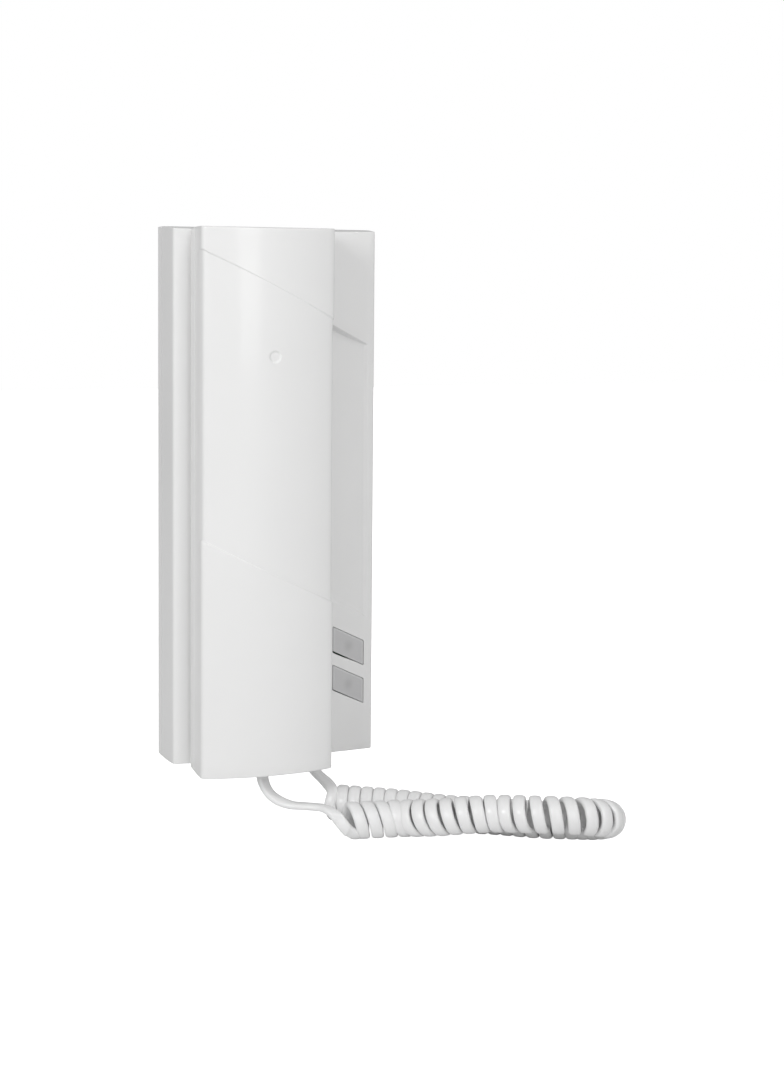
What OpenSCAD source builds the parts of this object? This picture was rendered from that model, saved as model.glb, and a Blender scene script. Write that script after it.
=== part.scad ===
// Slimline wall phone: a door-entry handset that rests on a shallow wall unit.
// Millimetres. X points right, Y points into the wall and Z up. The origin is the middle of the
// wall plate's back face, so the wall is the plane Y = 0. A "depth" is a distance out from the
// wall, towards -Y.

/* [Wall unit] */
// Height of the wall unit and of the handset
body_h = 205; // [204:1:208]
// Width of the wall unit across its front corners
base_w = 81; // [80:1:83]
// Depth of the wall unit at its front corners
base_side_d = 23.4; // [23.2:0.1:23.8]
// Rise of the wall unit's bowed front between its corners
base_crown = 5.3; // [5.1:0.1:5.5]
// Radius of the wall unit's front corners
base_corner_r = 1.5; // [1.2:0.1:2]
// Thickness of the moulded walls
wall = 2; // [1.8:0.1:2.1]

/* [Handset] */
// Width of the handset
handset_w = 51.5; // [51.5:0.5:53]
// Middle of the handset's width
handset_x = -9.75; // [-10:0.25:-9.25]
// Depth of the handset's flat rear face
handset_rear_d = 29.7; // [29.6:0.1:30]
// Depth of the joint between the handset's two shells
handset_seam_d = 39.4; // [39:0.1:40]
// Depth of the handset's front corners
handset_side_d = 47.4; // [47:0.1:48]
// Rise of the handset's bowed front between its corners
handset_crown = 5.2; // [5:0.1:5.4]
// Height of the middle of the ear cup
ear_z = 64; // [63:1:65]
// Height of the middle of the mouth cup
mouth_z = -70; // [-71:1:-69]

/* [Diagonal band] */
// Fall of the band's edges for each unit to the right
band_slope = 0.495; // [0.46:0.005:0.5]
// Height of the band's upper edge on the line X = 0
band_high_z = 77.2; // [76.2:0.5:78.7]
// Height of the band's lower edge on the line X = 0
band_low_z = -31.1; // [-32.6:0.5:-30.1]
// Depth of the band's step at the handset's edges
band_step = 0.6; // [0.4:0.1:0.7]

/* [Keys] */
// Width of a key
key_w = 13.5; // [13:0.5:14]
// Height of a key
key_h = 9.6; // [9:0.2:10]
// Middle of the keys' width
key_x = 29.5; // [29:0.1:29.8]
// Height of the middle of the upper key
key_z = -60.4; // [-61.4:0.5:-59.9]
// Distance between the middles of the keys
key_pitch = 15.25; // [14.75:0.25:15.5]
// Gap round a key
key_gap = 0.35; // [0.3:0.05:0.4]

/* [Cord] */
// Diameter of the uncoiled cord
cord_d = 4.6; // [4:0.1:4.8]
// Outer diameter of the coiled cord
coil_d = 14; // [13:0.5:14]

/* [Hidden] */
$fn = 48;

shell_color = "#f1f1f0";
key_color = "#b4b5b6";
dark_plastic = "#2b2d30";
cord_color = "#e6e6e6";
wire_color = "#b03030";
steel_color = "#b9bcc0";
clear_plastic = "#c9d3d6";
board_color = "#2f6b45";

base_flare = 0.5;
base_peak_d = base_side_d + base_crown;
base_r = (base_w * base_w / 4 + base_crown * base_crown) / (2 * base_crown);
base_bulge = 1.4;
base_bulge_d = 6;
base_bulge_reach = 19.6;
plate_rim_d = 5;
plate_lip_d = 7.5;
cover_start_d = plate_rim_d + 0.3;

handset_peak_d = handset_side_d + handset_crown;
handset_r = (handset_w * handset_w / 4 + handset_crown * handset_crown) / (2 * handset_crown);
handset_corner_r = 2;
handset_bulge = 0.5;
handset_bulge_d = 42;
handset_bulge_reach = 11;
band_crown = handset_crown + band_step;
band_r = (handset_w * handset_w / 4 + band_crown * band_crown) / (2 * band_crown);

recess_left = 13;
recess_right = 37.5;
recess_edge_d = 23.7;
recess_tilt = 0.1;

dimple_x = -8.75;
dimple_z = 55;
dimple_r = 2.5;
dimple_depth = 0.7;
dimple_ball_r = (dimple_r * dimple_r + dimple_depth * dimple_depth) / (2 * dimple_depth);

cup_face_d = 24.4;
cup_face_t = 1.6;
ear_r = 18;
mouth_r = 14.5;
well_gap = 1;
well_rise = 5;
well_floor_d = 22.2;
well_wall = 1.6;
capsule_r = 15.5;
capsule_back_d = 36;

lift_angle = 40;
hook_z = 91.5;
hook_size = [8, 4];
hook_tip_d = 34.5;
hook_gap = 0.4;

board_d = 8;
board_top_d = 9.6;
board_screw_x = [-30, 31];
board_screw_z = [-94, -18];
pilot_r = 1.15;
shank_r = 1.1;

wall_screw_z = 88;
wall_hole_r = 2.1;
box_screw_x = 30;
cable_z = 30;
cable_r = 9;

plunger_z = -38;
plunger_r = 3;
plunger_collar_d = 17.5;
plunger_collar_r = 4.5;
plunger_stem_r = 1.9;
plunger_stop_d = 23;
hook_switch_d = 14.5;

key_zs = [key_z, key_z - key_pitch];
key_proud = 0.3;
flange_d = 19.8;
flange_t = 1.2;
flange_grow = 0.6;
tact_d = 13.9;
actuator_r = 1.75;
actuator_d = 16.5;

ringer_z = 5;
ringer_r = 14;
ringer_seat_d = 24.45;
ringer_front_d = 23.4;

plug_size = [7.7, 5, 11.5];
latch_drop = 0.6;
latch_t = 1;
plug_tail_z = -102;
base_plug = [15, 15.4];
handset_plug = [handset_x - 0.25, 41.5];

weight_z = -2;
weight_size = [28, 3, 68];
weight_d = 45;
weight_screw_step = 25;
handset_screw_z = [42, -46];
handset_screw_seat_d = 33.7;

// Route of the cord from the handset's plug to the first turn of the coil.
handset_lead_route = [[-10, -41.5, -102.3], [-10, -41.6, -106.4], [-8.5, -42.8, -110.6],
    [-5.7, -44.8, -113.6], [-1.2, -48, -115.4], [3.3, -51.5, -115.4], [8.7, -56, -115.2],
    [10.6, -59.5, -115.5], [12.6, -62, -117.1], [15.6, -63.3, -121.3]];
// Route of the coil's axis: out to the right, round, and back under the wall unit.
coil_route = [[15.1, -57.9, -120.5], [37.8, -61.8, -120.5], [44, -66.9, -119.5],
    [51.1, -73.4, -118], [59.4, -78.7, -116.5], [69.4, -83.8, -115.5], [81.5, -92.8, -114.5],
    [95.2, -98.1, -114.8], [102, -98.7, -115.8], [107.4, -97.3, -117], [109.6, -94.7, -118.4],
    [109.5, -91.8, -119.6], [106.3, -88.5, -120.5], [100.9, -86.2, -120.5], [87.2, -79.9, -120.5], [74.7, -71.3, -120.5],
    [64.8, -65.5, -120.5], [56.3, -60.1, -120.5], [42.8, -47.9, -120.5], [28.3, -37.7, -120.5],
    [21.3, -33.2, -120.5]];
// Route of the cord from the coil's last turn up to the wall unit's plug.
base_lead_route = [[19.2, -38.6, -118.5], [19.8, -36.5, -115.3], [19.5, -30, -113.3],
    [17.6, -23, -111.1], [15.7, -17.6, -107.5], [15, -15.6, -104.6], [15, -15.4, -102]];
receiver_wire_route = [[-3.75, -36.05, 58], [-3.75, -38, 58], [6, -38.5, 44], [12, -38.5, 20],
    [12, -38.5, -45], [4, -38.5, -78], [-5, -40, -85], [-5, -40, -87.95]];
microphone_wire_route = [[-8.75, -32.65, -71], [-8.75, -34, -71], [-6, -37, -77],
    [-11, -40, -84], [-11, -40, -87.95]];
ringer_wire_route = [[-3.75, -17.85, 0], [-3.75, -16.4, 0], [3, -14.5, -7], [8, -11.6, -14.5],
    [8, -9.65, -14.5]];
wire_r = 0.6;

// Points of an arc about c, from angle a0 to a1, leaving out "skip" points at each end.
function arc(c, r, a0, a1, steps, skip = 0) =
    [for (i = [skip:steps - skip])
        let (a = a0 + (a1 - a0) * i / steps) c + r * [cos(a), sin(a)]];

// Front of a shell seen from above: straight sides, rounded corners and a bowed face.
function bowed(cx, w, flare, back_d, peak_d, r, corner) =
    let (k = w / 2 - corner,
        q = r - corner,
        yc = r - peak_d,
        yk = yc - sqrt(q * q - k * k),
        a = asin(k / q))
    concat([[cx - w / 2 - flare, -back_d]],
        arc([cx - k, yk], corner, 180, 270 - a, 4),
        arc([cx, yc], r, 270 - a, 270 + a, 16, 1),
        arc([cx + k, yk], corner, 270 + a, 360, 4),
        [[cx + w / 2 + flare, -back_d]]);

// Side view of a shell with gently domed ends, between two depths.
function domed(z, bulge, middle_d, reach, near_d, far_d) =
    let (steps = 8,
        edge = [for (i = [0:steps])
            let (d = near_d + (far_d - near_d) * i / steps, u = (d - middle_d) / reach)
            [-d, z + bulge * (1 - u * u)]])
    concat(edge, [for (i = [steps:-1:0]) [edge[i][0], -edge[i][1]]]);

function unit(v) = v / norm(v);

// Direction of a route at its point i.
function heading(route, i) =
    unit(route[min(i + 1, len(route) - 1)] - route[max(i - 1, 0)]);

function band_z(x, z) = z - band_slope * x;

module prism_z(points, h) {
    translate([0, 0, -h / 2]) linear_extrude(h) polygon(points);
}

module prism_x(points, w) {
    translate([-w / 2, 0, 0]) rotate([90, 0, 90]) linear_extrude(w) polygon(points);
}

// Outlines drawn in X and Z become solids between two depths.
module between(d0, d1) {
    translate([0, -d0, 0]) rotate([90, 0, 0]) linear_extrude(d1 - d0) children();
}

module post(x, z, r, d0, d1) {
    translate([x, -d0, z]) rotate([90, 0, 0]) cylinder(r = r, h = d1 - d0);
}

module block(x0, x1, d0, d1, z0, z1) {
    translate([x0, -d1, z0]) cube([x1 - x0, d1 - d0, z1 - z0]);
}

module slab(d0, d1) {
    block(-60, 60, d0, d1, -120, 120);
}

// Tube of n sides swept along a route; side_dir must never point along the route.
module tube(route, r, n, side_dir) {
    rings = len(route);
    points = [for (i = [0:rings - 1])
        let (t = heading(route, i), u = unit(cross(side_dir, t)), v = cross(t, u))
        for (j = [0:n - 1]) route[i] + r * (cos(360 * j / n) * u + sin(360 * j / n) * v)];
    sides = [for (i = [0:rings - 2], j = [0:n - 1])
        let (k = (j + 1) % n)
        [i * n + j, (i + 1) * n + j, (i + 1) * n + k, i * n + k]];
    start = [for (j = [0:n - 1]) j];
    end = [for (j = [n - 1:-1:0]) (rings - 1) * n + j];
    polyhedron(points, concat([start, end], sides));
}

module wire_pair(route, spread) {
    for (shift = [[0, 0, 0], spread])
        tube([for (p = route) p + shift], wire_r, 6, [0.3, 1, 0.1]);
}

// Screw along Y with its head's underside at seat_d, its head towards or away from the wall.
module screw(x, z, head_r, head_t, seat_d, tip_d) {
    out = sign(seat_d - tip_d);
    difference() {
        union() {
            post(x, z, head_r, min(seat_d, seat_d + out * head_t),
                max(seat_d, seat_d + out * head_t));
            post(x, z, shank_r, min(seat_d, tip_d), max(seat_d, tip_d));
        }
        for (turn = [0, 90])
            translate([x, -seat_d - out * head_t, z]) rotate([0, turn, 0])
                cube([head_r * 1.2, 1.2, 0.5], center = true);
    }
}

// Whole wall unit, wall to front, with every face moved in by inset.
module base_solid(inset) {
    intersection() {
        prism_z(bowed(0, base_w - 2 * inset, base_flare, 0, base_peak_d - inset,
            base_r - inset, max(base_corner_r - inset, 0.4)), body_h + 10);
        prism_x(domed(body_h / 2 - inset, base_bulge, base_bulge_d, base_bulge_reach,
            0, base_peak_d + 1), base_w + 10);
    }
}

module band_area(x0, x1, grow) {
    polygon([[x0, band_z(x0, band_low_z) - grow], [x1, band_z(x1, band_low_z) - grow],
        [x1, band_z(x1, band_high_z) + grow], [x0, band_z(x0, band_high_z) + grow]]);
}

// Hollow of the diagonal band beside the handset, or its backing when grow is more than 0.
module recess(grow) {
    left = recess_left - grow;
    right = recess_right + grow;
    floor_d = [for (x = [left, right]) recess_edge_d + recess_tilt * (recess_right - x) - grow];
    intersection() {
        between(15, 45) band_area(left, right, grow);
        prism_z([[left, -floor_d[0]], [right, -floor_d[1]], [right, -50], [left, -50]], body_h);
    }
}

// Pocket for a cup, drawn out upwards so that the cup can leave along the lift direction.
module well_area(z, r) {
    translate([handset_x, z]) circle(r = r);
    translate([handset_x, z + well_rise]) circle(r = r);
    translate([handset_x - r, z]) square([2 * r, well_rise]);
}

module both_wells(grow, d0) {
    between(d0, base_peak_d + 2) {
        well_area(ear_z, ear_r + well_gap + grow);
        well_area(mouth_z, mouth_r + well_gap + grow);
    }
}

// Bar that leans out and up along the lift direction.
module hook_bar(grow, near_d, far_d) {
    rise = tan(lift_angle);
    half = hook_size[1] / 2 / cos(lift_angle) + grow / cos(lift_angle);
    z0 = hook_z + (near_d - base_peak_d) * rise;
    z1 = hook_z + (far_d - base_peak_d) * rise;
    translate([handset_x, 0, 0])
        prism_x([[-near_d, z0 - half], [-near_d, z0 + half], [-far_d, z1 + half],
            [-far_d, z1 - half]], hook_size[0] + 2 * grow);
}

module key_area(z, grow) {
    x = key_w / 2 + grow;
    h = key_h / 2 + grow;
    translate([key_x, z])
        polygon([[-x, x * band_slope - h], [x, -x * band_slope - h],
            [x, h - x * band_slope], [-x, h + x * band_slope]]);
}

module wall_plate() {
    color(shell_color) difference() {
        union() {
            intersection() {
                base_solid(0);
                slab(0, plate_rim_d);
            }
            intersection() {
                base_solid(wall + 0.15);
                slab(1, plate_lip_d);
            }
        }
        intersection() {
            base_solid(wall + 1.35);
            difference() {
                slab(wall, plate_lip_d + 1);
                for (x = board_screw_x, z = board_screw_z) post(x, z, 3, 0, board_d);
            }
        }
        for (x = board_screw_x, z = board_screw_z) post(x, z, pilot_r, 3, 12);
        for (z = [-wall_screw_z, wall_screw_z]) post(0, z, wall_hole_r, -1, 4);
        for (x = [-box_screw_x, box_screw_x]) post(x, cable_z, wall_hole_r, -1, 4);
        post(0, cable_z, cable_r, -1, 4);
    }
    color(shell_color) for (z = [ear_z, mouth_z]) difference() {
        post(handset_x, z, 3.6, 1, well_floor_d - well_wall - 0.2);
        post(handset_x, z, pilot_r, 8, 22);
    }
}

module base_cover() {
    color(shell_color) difference() {
        union() {
            difference() {
                intersection() {
                    base_solid(0);
                    slab(cover_start_d, 45);
                }
                base_solid(wall);
            }
            intersection() {
                base_solid(wall / 2);
                union() {
                    recess(wall * 0.8);
                    both_wells(well_wall, well_floor_d - well_wall);
                    post(handset_x, plunger_z, 5, plunger_stop_d, 28);
                    difference() {
                        post(handset_x, ringer_z, ringer_r + 1.8, 18.5, 28);
                        post(handset_x, ringer_z, ringer_r + 0.3, 18, ringer_seat_d);
                        post(handset_x, ringer_z, ringer_r - 3, 18, 29);
                    }
                }
            }
            hook_bar(0, base_peak_d - 1.2, hook_tip_d);
        }
        recess(0);
        both_wells(0, well_floor_d);
        for (z = [ear_z, mouth_z]) post(handset_x, z, 1.7, 18, 26);
        post(handset_x, plunger_z, plunger_r + 0.15, 20, 32);
        for (z = key_zs) between(18, 30) key_area(z, key_gap);
        for (i = [-2:2])
            block(handset_x - 9, handset_x + 9, 24, 32, ringer_z + 4 * i - 0.8,
                ringer_z + 4 * i + 0.8);
        block(base_plug[0] - 4.6, base_plug[0] + 4.6, base_plug[1] - 4, base_plug[1] + 4,
            -108, -98);
    }
}

module cover_screws() {
    color(steel_color) for (z = [ear_z, mouth_z])
        screw(handset_x, z, 2.8, 1.4, well_floor_d, 10);
}

module circuit_board() {
    color(board_color) difference() {
        block(-34, 35, board_d, board_top_d, -98, -12);
        post(handset_x, mouth_z, 4, 7, 11);
        post(0, -wall_screw_z, 5, 7, 11);
        for (x = board_screw_x, z = board_screw_z) post(x, z, 1.4, 7, 11);
    }
}

module board_screws() {
    color(steel_color) for (x = board_screw_x, z = board_screw_z)
        screw(x, z, 2.4, 1.4, board_top_d, 4);
}

module board_chip() {
    color(dark_plastic) block(-2, 8, board_top_d, 12, -58, -50);
    color(steel_color) for (i = [0:3], z = [-59.2, -50])
        block(-1.2 + 2.5 * i, -0.2 + 2.5 * i, board_top_d, 10.4, z, z + 1.2);
}

module board_capacitors() {
    color(dark_plastic) {
        post(20, -32, 4, board_top_d, 20);
        post(-27, -50, 3, board_top_d, 17);
    }
}

module terminal_block() {
    color(clear_plastic) difference() {
        block(-24, 6, board_top_d, 19, -27, -18);
        for (i = [0:5]) {
            x = -21.5 + 5 * i;
            post(x, -22.5, 1.6, 12, 20);
            translate([x, -12.6, -20]) cylinder(r = 1.2, h = 5);
        }
    }
}

module terminal_screws() {
    color(steel_color) for (i = [0:5]) difference() {
        x = -21.5 + 5 * i;
        post(x, -22.5, 1.5, 12.1, 17.5);
        block(x - 2, x + 2, 16.9, 18, -22.8, -22.2);
    }
}

module ringer_speaker() {
    color(dark_plastic) {
        post(handset_x, ringer_z, ringer_r, ringer_front_d - 3, ringer_front_d);
        post(handset_x, ringer_z, 8, ringer_front_d - 5.5, ringer_front_d - 2);
    }
}

module ringer_gasket() {
    color("#3a3a3a") difference() {
        post(handset_x, ringer_z, ringer_r - 0.2, ringer_front_d, ringer_seat_d - 0.05);
        post(handset_x, ringer_z, ringer_r - 3, 22, 27);
    }
}

module ringer_wires() {
    color(wire_color) wire_pair(ringer_wire_route, [2.5, 0, 1.5]);
}

module hook_switch() {
    color(dark_plastic) difference() {
        block(handset_x - 5, handset_x + 5, board_top_d, hook_switch_d, plunger_z - 5,
            plunger_z + 5);
        post(handset_x, plunger_z, plunger_stem_r + 0.1, 10, 16);
    }
}

module hook_spring() {
    color(steel_color) difference() {
        post(handset_x, plunger_z, 3.3, hook_switch_d, plunger_collar_d - 0.3);
        post(handset_x, plunger_z, 2.4, 14, 18);
    }
}

module hook_plunger() {
    color(shell_color) {
        post(handset_x, plunger_z, plunger_stem_r, 10.3, plunger_collar_d);
        post(handset_x, plunger_z, plunger_collar_r, plunger_collar_d, plunger_collar_d + 1.5);
        post(handset_x, plunger_z, plunger_r, plunger_collar_d, handset_rear_d - 0.1);
    }
}

module tact_switches() {
    color(dark_plastic) for (z = key_zs) difference() {
        block(key_x - 3, key_x + 3, board_top_d, tact_d, z - 3, z + 3);
        post(key_x, z, actuator_r + 0.1, 10.2, 15);
    }
}

module key_cap(z) {
    color(key_color) {
        intersection() {
            between(flange_d, 40) key_area(z, 0);
            prism_z(bowed(0, base_w + 2 * key_proud, 0, 0, base_peak_d + key_proud,
                base_r + key_proud, base_corner_r), body_h);
        }
        between(flange_d, flange_d + flange_t) key_area(z, flange_grow);
        post(key_x, z, 2.2, actuator_d, flange_d);
    }
}

module key_actuator(z) {
    color("#f3e6c0") post(key_x, z, actuator_r, 11.6, actuator_d);
}

module door_key() {
    key_cap(key_zs[0]);
}

module door_key_actuator() {
    key_actuator(key_zs[0]);
}

module light_key() {
    key_cap(key_zs[1]);
}

module light_key_actuator() {
    key_actuator(key_zs[1]);
}

// Socket of a modular plug, open at its lower end; at is its middle in X and its depth.
module cord_socket(at, d0, d1) {
    color(dark_plastic) difference() {
        block(at[0] - 6, at[0] + 6, d0, d1, -99.4, -88);
        block(at[0] - 4, at[0] + 4, at[1] - 3.5, at[1] + 3.5, -101, -90);
    }
}

// Modular plug with its latch, its tail downwards.
module cord_plug(at) {
    w = plug_size[0] / 2;
    near = at[1] - 3.3;
    body_end = near + plug_size[1];
    latch_end = body_end + latch_drop + latch_t;
    tip_z = plug_tail_z + plug_size[2];
    color(clear_plastic) {
        block(at[0] - w, at[0] + w, near, body_end, plug_tail_z, tip_z);
        block(at[0] - 1.6, at[0] + 1.6, body_end + latch_drop, latch_end, plug_tail_z, tip_z);
        block(at[0] - 1.6, at[0] + 1.6, body_end, latch_end, tip_z - 1.2, tip_z);
    }
}

module base_cord_socket() {
    cord_socket(base_plug, board_top_d, 21);
}

module base_cord_plug() {
    cord_plug(base_plug);
}

module handset_cord_socket() {
    cord_socket(handset_plug, 36, 47);
}

module handset_cord_plug() {
    cord_plug(handset_plug);
}

// Outline of the whole handset seen from above, with every face moved in by inset.
function handset_outline(inset) =
    let (w = handset_w - 2 * inset,
        c = max(1.2 - inset, 0.5),
        d = handset_rear_d + inset,
        x = handset_x)
    concat(bowed(x, w, 0, handset_seam_d, handset_peak_d - inset, handset_r - inset,
            max(handset_corner_r - inset, 0.4)),
        arc([x + w / 2 - c, -d - c], c, 0, 90, 4),
        arc([x - w / 2 + c, -d - c], c, 90, 180, 4));

module handset_solid(inset) {
    intersection() {
        prism_z(handset_outline(inset), body_h + 10);
        prism_x(domed(body_h / 2 - inset, handset_bulge, handset_bulge_d, handset_bulge_reach,
            handset_rear_d - 1, handset_peak_d + 1), base_w + 20);
    }
}

module plug_opening() {
    block(handset_plug[0] - 4.6, handset_plug[0] + 4.6, handset_plug[1] - 4,
        handset_plug[1] + 4, -108, -98);
}

module handset_front_shell() {
    color(shell_color) difference() {
        union() {
            difference() {
                intersection() {
                    handset_solid(0);
                    slab(handset_seam_d, 60);
                }
                handset_solid(wall);
            }
            intersection() {
                handset_solid(wall / 2);
                union() {
                    for (z = handset_screw_z) post(handset_x, z, 3.4, 36.1, 52);
                    for (i = [-1, 1])
                        post(handset_x, weight_z + weight_screw_step * i, 2.6, 48, 52);
                }
            }
        }
        intersection() {
            between(45, 60) band_area(-50, 30, 0);
            difference() {
                slab(45, 60);
                prism_z(bowed(handset_x, handset_w, 0, 40, handset_peak_d, band_r,
                    handset_corner_r), body_h + 20);
            }
        }
        translate([dimple_x, dimple_depth - handset_peak_d - dimple_ball_r, dimple_z])
            sphere(r = dimple_ball_r);
        for (z = handset_screw_z) post(handset_x, z, pilot_r, 35, 46);
        for (i = [-1, 1])
            post(handset_x, weight_z + weight_screw_step * i, pilot_r, 47, 50.2);
        plug_opening();
    }
}

module sound_holes() {
    post(handset_x, ear_z, 0.9, 23, 28);
    for (ring = [[6, 5], [12, 10]], i = [1:ring[0]]) {
        a = 360 * i / ring[0];
        post(handset_x + ring[1] * sin(a), ear_z + ring[1] * cos(a), 0.9, 23, 28);
    }
    post(handset_x, mouth_z, 1, 23, 28);
}

module handset_rear_shell() {
    inner_d = handset_rear_d + wall;
    color(shell_color) difference() {
        union() {
            difference() {
                intersection() {
                    handset_solid(0);
                    slab(handset_rear_d - 1, handset_seam_d - 0.05);
                }
                handset_solid(wall);
            }
            difference() {
                intersection() {
                    handset_solid(wall + 0.1);
                    slab(handset_seam_d - 2, handset_seam_d + 1.6);
                }
                handset_solid(wall + 1);
            }
            intersection() {
                handset_solid(wall / 2);
                slab(handset_seam_d - 2, handset_seam_d - 0.05);
                difference() {
                    handset_solid(wall / 2);
                    handset_solid(wall + 1);
                }
            }
            post(handset_x, ear_z, ear_r, cup_face_d, inner_d);
            post(handset_x, mouth_z, mouth_r, cup_face_d, inner_d);
            post(handset_x, ear_z, capsule_r + 2.1, inner_d - 0.5, capsule_back_d);
            for (z = handset_screw_z) post(handset_x, z, 4.6, inner_d - 0.5, 36);
        }
        post(handset_x, ear_z, capsule_r + 0.4, cup_face_d + cup_face_t, 38);
        difference() {
            post(handset_x, mouth_z, mouth_r - wall, cup_face_d + cup_face_t, 34);
            post(handset_x, mouth_z, 8.4, cup_face_d, 31);
        }
        post(handset_x, mouth_z, 7.1, cup_face_d + cup_face_t, 34);
        for (z = handset_screw_z) {
            post(handset_x, z, 3.1, 28, handset_screw_seat_d);
            post(handset_x, z, 1.6, 28, 38);
        }
        hook_bar(hook_gap, base_peak_d - 2, hook_tip_d + 2);
        sound_holes();
        plug_opening();
    }
}

module handset_screws() {
    color(steel_color) for (z = handset_screw_z)
        screw(handset_x, z, 2.8, 1.8, handset_screw_seat_d, 45);
}

module receiver_capsule() {
    color(dark_plastic) {
        post(handset_x, ear_z, capsule_r, 27.4, 33);
        post(handset_x, ear_z, 9, 32, capsule_back_d);
    }
}

module receiver_foam_ring() {
    color("#3a3a3a") difference() {
        post(handset_x, ear_z, capsule_r, 26.05, 27.35);
        post(handset_x, ear_z, 12, 25, 28);
    }
}

module receiver_wires() {
    color(wire_color) wire_pair(receiver_wire_route, [0, -1.6, 0]);
}

module microphone_capsule() {
    color(steel_color) post(handset_x, mouth_z, 4.85, 26.8, 32.6);
}

module microphone_boot() {
    color("#3a3a3a") difference() {
        post(handset_x, mouth_z, 7, 26.05, 31.5);
        post(handset_x, mouth_z, 4.9, 26.7, 34);
        post(handset_x, mouth_z, 1.4, 25, 28);
    }
}

module microphone_wires() {
    color(wire_color) wire_pair(microphone_wire_route, [-2, 0, 0.6]);
}

module handset_weight() {
    color(steel_color) difference() {
        translate([handset_x, -weight_d - weight_size[1] / 2, weight_z])
            cube(weight_size, center = true);
        for (i = [-1, 1]) post(handset_x, weight_z + weight_screw_step * i, 1.7, 44, 49);
    }
}

module weight_screws() {
    color(steel_color) for (i = [-1, 1])
        screw(handset_x, weight_z + weight_screw_step * i, 2.6, 1.3, weight_d, 50);
}

module cord_handset_lead() {
    color(cord_color) tube(handset_lead_route, cord_d / 2, 8, [0.6, 0.8, 0]);
}

module cord_coil() {
    color(cord_color) tube(coil_route, coil_d / 2, 12, [0, 0, 1]);
}

module cord_base_lead() {
    color(cord_color) tube(base_lead_route, cord_d / 2, 8, [0.9, -0.4, 0]);
}

wall_plate();
base_cover();
cover_screws();
circuit_board();
board_screws();
board_chip();
board_capacitors();
terminal_block();
terminal_screws();
ringer_speaker();
ringer_gasket();
ringer_wires();
hook_switch();
hook_spring();
hook_plunger();
tact_switches();
door_key();
door_key_actuator();
light_key();
light_key_actuator();
base_cord_socket();
base_cord_plug();
handset_front_shell();
handset_rear_shell();
handset_screws();
receiver_capsule();
receiver_foam_ring();
receiver_wires();
microphone_capsule();
microphone_boot();
microphone_wires();
handset_weight();
weight_screws();
handset_cord_socket();
handset_cord_plug();
cord_handset_lead();
cord_coil();
cord_base_lead();
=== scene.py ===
"""Looks of the slimline wall phone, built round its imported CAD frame.

Shapes are written in millimetres as (x, depth, z), where depth is the distance out from the wall,
and become metres in the row frame, where the front faces -Y, when a mesh is made.
"""
import math

import bmesh
import bpy
from mathutils import Matrix, Vector


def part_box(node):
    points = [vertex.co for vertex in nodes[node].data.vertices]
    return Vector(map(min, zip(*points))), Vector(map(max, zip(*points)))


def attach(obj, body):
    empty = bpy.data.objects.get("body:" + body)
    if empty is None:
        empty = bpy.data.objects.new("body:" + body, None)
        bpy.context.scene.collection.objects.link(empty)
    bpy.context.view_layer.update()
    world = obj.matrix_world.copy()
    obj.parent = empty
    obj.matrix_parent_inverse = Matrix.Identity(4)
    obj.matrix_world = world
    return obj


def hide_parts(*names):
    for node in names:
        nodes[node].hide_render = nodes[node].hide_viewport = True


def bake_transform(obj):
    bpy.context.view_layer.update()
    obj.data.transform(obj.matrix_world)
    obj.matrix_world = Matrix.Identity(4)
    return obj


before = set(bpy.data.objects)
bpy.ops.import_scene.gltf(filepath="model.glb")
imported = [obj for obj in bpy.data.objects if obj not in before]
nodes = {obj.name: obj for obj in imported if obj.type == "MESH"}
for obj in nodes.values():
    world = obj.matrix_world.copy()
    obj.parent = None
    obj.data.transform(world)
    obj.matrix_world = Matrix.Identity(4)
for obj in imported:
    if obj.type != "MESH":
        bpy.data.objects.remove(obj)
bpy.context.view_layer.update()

MM = 0.001


def box_mm(node):
    """Lowest and highest corner of a CAD node, in millimetres."""
    low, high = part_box(node)
    return low / MM, high / MM


def centre_mm(node):
    """Middle of a CAD node as (x, depth, z), in millimetres."""
    low, high = box_mm(node)
    middle = (low + high) / 2
    return middle.x, -middle.y, middle.z


# ---------------------------------------------------------------- driving dimensions

cover_high = box_mm("base_cover")[1]
front_low, front_high = box_mm("handset_front_shell")
rear_high = box_mm("handset_rear_shell")[1]

HALF_H = 102.5
WALL = 2.0
INNER_FILLET = 0.3
MIN_CORNER = 0.4
SEAM_CHAMFER = 0.25

BASE_HALF = 40.5
BASE_FLARE = 0.5
BASE_SIDE_D = 23.4
BASE_PEAK_D = 28.7
BASE_CORNER = 1.5
COVER_START_D = -cover_high.y
BASE_BULGE = 1.4
BASE_BULGE_D = 6.0
BASE_BULGE_REACH = 19.6

HANDSET_X = (front_low.x + front_high.x) / 2
HANDSET_HALF = (front_high.x - front_low.x) / 2
HANDSET_PEAK_D = -front_low.y
HANDSET_CROWN = 5.2
HANDSET_CORNER = 2.0
HANDSET_REAR_D = 29.7
HANDSET_REAR_CORNER = 1.2
SEAM_D = -front_high.y
HANDSET_BULGE = 0.5
HANDSET_BULGE_D = 42.0
HANDSET_BULGE_REACH = 11.0

BAND_SLOPE = 0.495
BAND_HIGH_Z = 77.2
BAND_LOW_Z = -31.1
BAND_STEP = 0.6
BAND_MIN_STEP = 0.2
RECESS_LEFT = 13.0
RECESS_RIGHT = 37.5
RECESS_RIGHT_WALL = 1.3
RECESS_EDGE_D = 23.7
RECESS_TILT = 0.1
RECESS_TOP_SHARE = 1.25
RECESS_LOW_SHARE = 0.85
RECESS_TOP_WALL = math.tan(math.radians(30))
RECESS_LOW_WALL = math.tan(math.radians(52))

DIMPLE_X = -8.75
DIMPLE_Z = 55.0
DIMPLE_R = 2.5
DIMPLE_RIM = 0.9
DIMPLE_DEPTH = 0.45

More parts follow.
